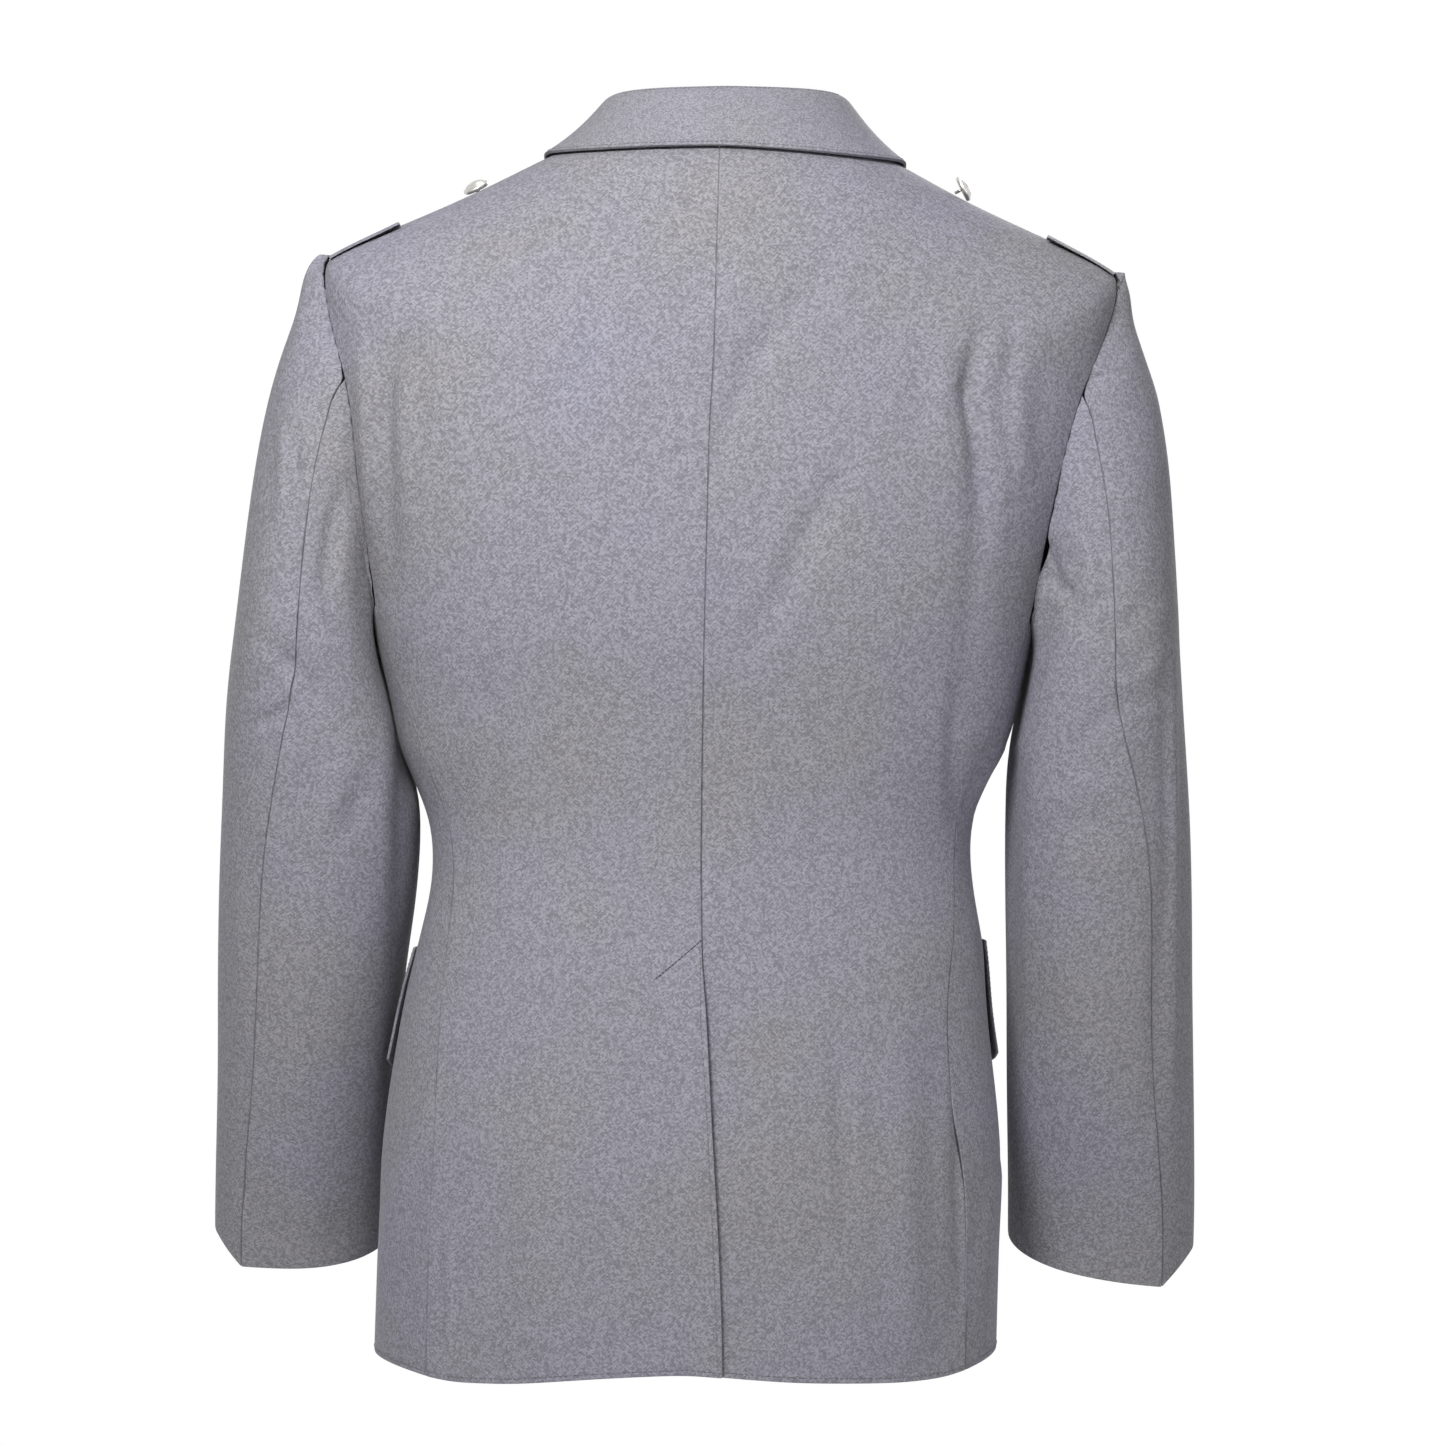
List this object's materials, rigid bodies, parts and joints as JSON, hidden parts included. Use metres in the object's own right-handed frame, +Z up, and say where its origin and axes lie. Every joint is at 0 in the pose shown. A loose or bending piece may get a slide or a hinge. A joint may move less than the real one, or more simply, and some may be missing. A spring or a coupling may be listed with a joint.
{
  "type": "parade jacket",
  "caption": "Single-breasted parade jacket in grey wool, worn form and hollow, with collar, lapels, centre vent, hip flaps, short shoulder tabs and domed metal buttons.",
  "frame": {"origin": "middle of the neck opening, level with the side neck points and on the line of the shoulder seams", "axes": "+Z up, +Y towards the back of the jacket, +X towards the wearer's left"},
  "size_m": [0.603, 0.285, 0.7642],
  "materials": {
    "cloth": "mid-grey worsted wool twill, salt and pepper, matt",
    "felt": "charcoal felt, fuzzy",
    "button": "silvered brass, domed, plain"
  },
  "bodies": {
    "root": {"back_left": "cloth", "back_right": "cloth", "side_left": "cloth", "side_right": "cloth", "front_left": "cloth", "front_right": "cloth", "lapel_left": "cloth", "lapel_right": "cloth", "collar": "cloth", "top_sleeve_left": "cloth", "top_sleeve_right": "cloth", "under_sleeve_left": "cloth", "under_sleeve_right": "cloth", "pocket_flap_left": "cloth", "pocket_flap_right": "cloth", "shoulder_tab_left": "cloth", "shoulder_tab_right": "cloth", "tab_underlay_left": "felt", "tab_underlay_right": "felt", "shoulder_button_left": "button", "shoulder_button_right": "button", "front_button_1": "button", "front_button_2": "button", "front_button_3": "button", "front_button_4": "button"}
  },
  "joints": []
}
